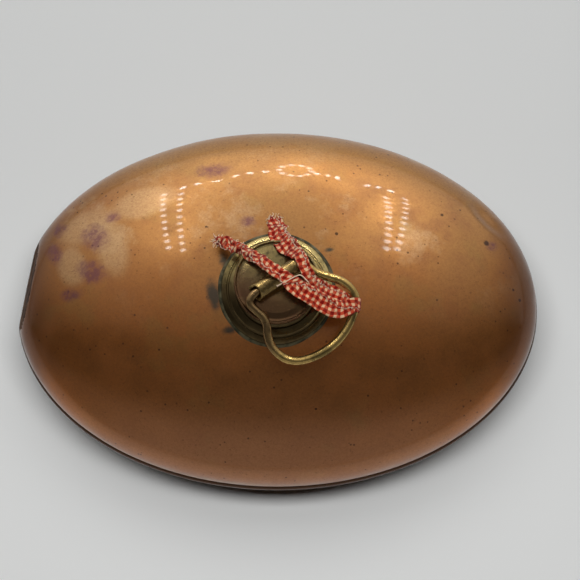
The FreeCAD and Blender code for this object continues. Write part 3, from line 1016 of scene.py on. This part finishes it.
def make_rag(material):
    """One torn strip: front tail, turn round the wire, back tail."""
    rows, columns = 340, 60
    middle, flat, total = rag_surface(rows, columns)
    normals = np.cross(np.gradient(middle, axis=0), np.gradient(middle, axis=1))
    normals /= np.maximum(np.linalg.norm(normals, axis=2), 1e-9)[:, :, None]
    upper = middle + normals * CLOTH / 2
    lower = middle - normals * CLOTH / 2
    points = np.vstack([upper.reshape(-1, 3), lower.reshape(-1, 3)])
    texture_map = np.vstack([flat.reshape(-1, 2), flat.reshape(-1, 2)])
    rag = make_object("gingham_rag", points, cloth_faces(rows, columns), material, texture_map)
    return rag, middle, total


def thread_points(start, direction, length, curl, seed):
    """A short springy yarn from a torn edge."""
    count = 9
    path = [start]
    heading = unit(direction)
    for k in range(count):
        heading = unit(heading + curl * np.array(noise.noise_vector((seed, k * 0.45, 2.0))))
        path.append(path[-1] + heading * length / count)
    return np.array(path)


def fringe_root(middle, draw, long):
    """Where one loose yarn leaves the rag, which way it points, and its length."""
    rows, columns, _ = middle.shape
    at_end = draw.random() < 0.42
    if at_end:
        i, j = draw.choice((0, rows - 1)), draw.randrange(columns)
        inward = 6 if i == 0 else rows - 7
        direction = middle[i, j] - middle[inward, j]
        length = draw.uniform(0.8, long)
    else:
        i, j = draw.randrange(rows), draw.choice((0, columns - 1))
        inward = 3 if j == 0 else columns - 4
        direction = middle[i, j] - middle[i, inward]
        run = middle[min(i + 3, rows - 1), j] - middle[max(i - 3, 0), j]
        direction = unit(direction) + 0.9 * unit(run) * draw.choice((-1, 1))
        length = draw.uniform(0.6, 0.45 * long)
    return middle[i, j] - unit(direction) * 0.3, direction, length


def make_fringe(name, middle, material, count, seed, long):
    """Loose yarns along the torn edges and at both ends of the rag."""
    draw = random.Random(seed)
    points, faces = [], []
    offset = 0
    for n in range(count):
        start, direction, length = fringe_root(middle, draw, long)
        path = thread_points(start, direction, length, 0.8, n * 1.7 + seed)
        radii = np.linspace(0.24, 0.13, len(path))
        p, f = capped_tube(path, radii, 5)
        points.append(p)
        faces += [tuple(offset + k for k in face) for face in f]
        offset += len(p)
    return make_object(name, np.vstack(points), faces, material)


LOOSE_YARN = [(16.0, -3.4, 121.0), (12.4, -0.2, 122.4), (9.8, -0.6, 122.8), (5.6, -2.6, 121.6),
              (0.4, -4.9, 119.4)]


def make_loose_yarn(material):
    """One thicker yarn that lies across the front tail, with a knotted tip."""
    radius = 0.28
    path = smooth_path(LOOSE_YARN, 8)
    radii = [radius * (1 + 0.25 * noise.noise((0.3 * i, 1.0, 0.0))) for i in range(len(path))]
    radii[-1] = radius * 2.2
    points, faces = capped_tube(path, radii, 8)
    return make_object("rag_loose_yarn", points, faces, material)


def bend_with_bail(piece):
    """Bakes the piece's placement into its mesh."""
    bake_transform(piece)


def make_rag_and_yarns():
    """The rag with its fringe and loose yarn, each with its placement baked in."""
    rag, middle, total = make_rag(gingham())
    cream = yarn("cream_yarn", tone(240, 222, 196), tone(214, 180, 150))
    red = yarn("red_yarn", tone(176, 44, 38), tone(120, 20, 22))
    fringe_cream = make_fringe("rag_fringe_cream", middle, cream, 240, 11, 4.2)
    fringe_red = make_fringe("rag_fringe_red", middle, red, 130, 5, 2.6)
    free = make_loose_yarn(cream)
    pieces = [rag, fringe_cream, fringe_red, free]
    for piece in pieces:
        bend_with_bail(piece)
    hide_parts("rag_loop", "rag_tail_front", "rag_tail_back")


# ---- floor and light ----

def make_floor(material):
    """Plain pale floor, six metres square."""
    mesh = bpy.data.meshes.new("floor")
    mesh.from_pydata([(-3, -3, 0), (3, -3, 0), (3, 3, 0), (-3, 3, 0)], [], [(0, 1, 2, 3)])
    floor = bpy.data.objects.new("floor", mesh)
    bpy.context.scene.collection.objects.link(floor)
    mesh.materials.append(material)


# brightness of the tent: degrees from straight up towards the front, level
TENT_STOPS = [(-180, 0.4), (-90, 1.0), (-75, 1.2), (-60, 1.15), (-45, 0.95), (-30, 0.80), (-15, 0.58),
              (-5, 0.40), (3, 0.21), (10, 0.11), (36, 0.11), (44, 0.24), (54, 0.38), (68, 0.38),
              (90, 0.38), (180, 0.4)]


def make_world():
    """Tent that only gleams on the object, and doesn't light what is matt.

    It is bright behind, darkest just in front of straight up, and dimmer at both sides.
    """
    world = bpy.data.worlds.new("tent")
    bpy.context.scene.world = world
    world.use_nodes = True
    world.cycles_visibility.diffuse = False
    nodes, links = world.node_tree.nodes, world.node_tree.links
    background = nodes["Background"]
    split = nodes.new("ShaderNodeSeparateXYZ")
    links.new(nodes.new("ShaderNodeTexCoord").outputs["Generated"], split.inputs[0])

    def calc(operation, *values):
        node = nodes.new("ShaderNodeMath")
        node.operation = operation
        for socket, value in zip(node.inputs, values):
            if isinstance(value, bpy.types.NodeSocket):
                links.new(value, socket)
            else:
                socket.default_value = value
        return node.outputs[0]

    tilt = calc("ARCTAN2", calc("MULTIPLY", split.outputs[1], -1.0), split.outputs[2])
    ramp = nodes.new("ShaderNodeValToRGB")
    links.new(calc("MULTIPLY_ADD", tilt, 0.5 / math.pi, 0.5), ramp.inputs[0])
    elements = ramp.color_ramp.elements
    while len(elements) < len(TENT_STOPS):
        elements.new(0.5)
    for element, (degrees, level) in zip(elements, TENT_STOPS):
        element.position = degrees / 360 + 0.5
        element.color = (level, level, level, 1)
    links.new(ramp.outputs[0], background.inputs["Color"])
    aside = nodes.new("ShaderNodeMapRange")
    aside.interpolation_type = "SMOOTHSTEP"
    links.new(calc("ABSOLUTE", split.outputs[0]), aside.inputs[0])
    for socket, value in zip(aside.inputs[1:5], (0.45, 0.95, 1.0, 0.5)):
        socket.default_value = value
    links.new(aside.outputs[0], background.inputs["Strength"])


def area_light(name, place, width, height, power):
    """Large soft light that faces the origin and is seen only on matt surfaces."""
    data = bpy.data.lights.new(name, "AREA")
    data.shape = "RECTANGLE"
    data.size = width
    data.size_y = height
    data.energy = power
    light = bpy.data.objects.new(name, data)
    light.location = place
    light.rotation_euler = (-Vector(place)).to_track_quat("-Z", "Y").to_euler()
    light.visible_glossy = False
    light.visible_camera = False
    bpy.context.scene.collection.objects.link(light)


LAMP_CENTRE = Vector((0.0, 0.0, 0.08))   # the small lamps stand a metre from here and face it
LAMP_SIZE = 0.026
# rows of small lamps: name, direction of the first and the last, how many, brightness
LAMP_ROWS = [("lamps_left_outer", (-0.40, 0.47, 0.79), (-0.395, 0.81, 0.43), 10, 22.0),
             ("lamps_left_inner", (-0.335, 0.45, 0.83), (-0.33, 0.81, 0.48), 10, 22.0),
             ("lamps_right_inner", (0.37, 0.47, 0.81), (0.365, 0.79, 0.50), 10, 22.0),
             ("lamps_right_outer", (0.405, 0.47, 0.79), (0.425, 0.79, 0.44), 10, 22.0),
             ("lamps_back_left", (-0.32, 0.845, 0.42), (-0.05, 0.90, 0.40), 6, 34.0),
             ("lamps_back_right", (0.13, 0.89, 0.39), (0.37, 0.82, 0.40), 6, 34.0)]


def lamp_dot(name, direction, size, radiance):
    """One small lamp facing the object, seen only as a gleam."""
    data = bpy.data.lights.new(name, "AREA")
    data.shape = "DISK"
    data.size = size
    data.energy = radiance * math.pi * math.pi * (size / 2) ** 2
    light = bpy.data.objects.new(name, data)
    place = LAMP_CENTRE + direction
    light.location = place
    light.rotation_euler = (place - LAMP_CENTRE).to_track_quat("Z", "Y").to_euler()
    light.visible_camera = False
    light.visible_diffuse = False
    bpy.context.scene.collection.objects.link(light)


def lamp_ring():
    """A ring light over the back edge."""
    count = 10
    for k in range(count):
        angle = 2 * math.pi * k / count
        direction = Vector((0.055 + 0.055 * math.cos(angle), 0.91, 0.375 + 0.08 * math.sin(angle)))
        lamp_dot(f"lamp_ring_{k:02d}", direction.normalized(), 0.024, 24.0)


def make_lights():
    """Overhead fill for the floor and cloth, and rows of small lamps that gleam on the copper."""
    area_light("overhead_fill", (0.0, 0.0, 1.6), 1.1, 0.32, 14.5)
    area_light("back_fill", (0.0, 0.75, 1.4), 1.6, 0.9, 7.4)
    for name, start, end, count, radiance in LAMP_ROWS:
        for k in range(count):
            direction = Vector(start).lerp(Vector(end), k / (count - 1)).normalized()
            lamp_dot(f"{name}_{k:02d}", direction, LAMP_SIZE, radiance)
    lamp_ring()


def finish_hidden_parts(materials):
    """Gives the mostly hidden parts, which keep their CAD shapes, their materials."""
    for name, material in materials:
        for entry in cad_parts[name].material_slots:
            entry.material = material


def main():
    make_camera()
    metal = copper()
    make_dome(metal, battered_copper())
    make_bowl(metal)
    old_solder = solder()
    make_seam_solder(old_solder)
    # the last colour given to the collar and the cap is their painted shade
    collar_brass = brass("collar_brass", tone(190, 168, 112), tone(146, 128, 80), tone(70, 64, 40),
                         0.55, 0.16, 0.28, tone(66, 50, 32))
    cap_brass = brass("cap_brass", tone(150, 130, 84), tone(108, 94, 64), tone(58, 48, 36),
                      0.6, 0.18, 0.32, tone(104, 72, 50))
    barrel_brass = brass("barrel_brass", tone(176, 148, 92), tone(132, 108, 66), tone(62, 50, 34),
                         0.55, 0.16, 0.3)
    make_flange(collar_brass)
    make_flange_solder(old_solder)
    make_washer(leather())
    make_cap(cap_brass)
    make_barrel(barrel_brass)
    make_barrel_solder(old_solder)
    make_bail(wire_brass())
    make_rag_and_yarns()
    finish_hidden_parts((("filler_neck", collar_brass), ("stopper_plug", cap_brass),
                         ("neck_solder", old_solder)))
    make_floor(painted_floor())
    make_world()
    make_lights()
    bpy.context.scene.view_settings.view_transform = "Standard"


main()
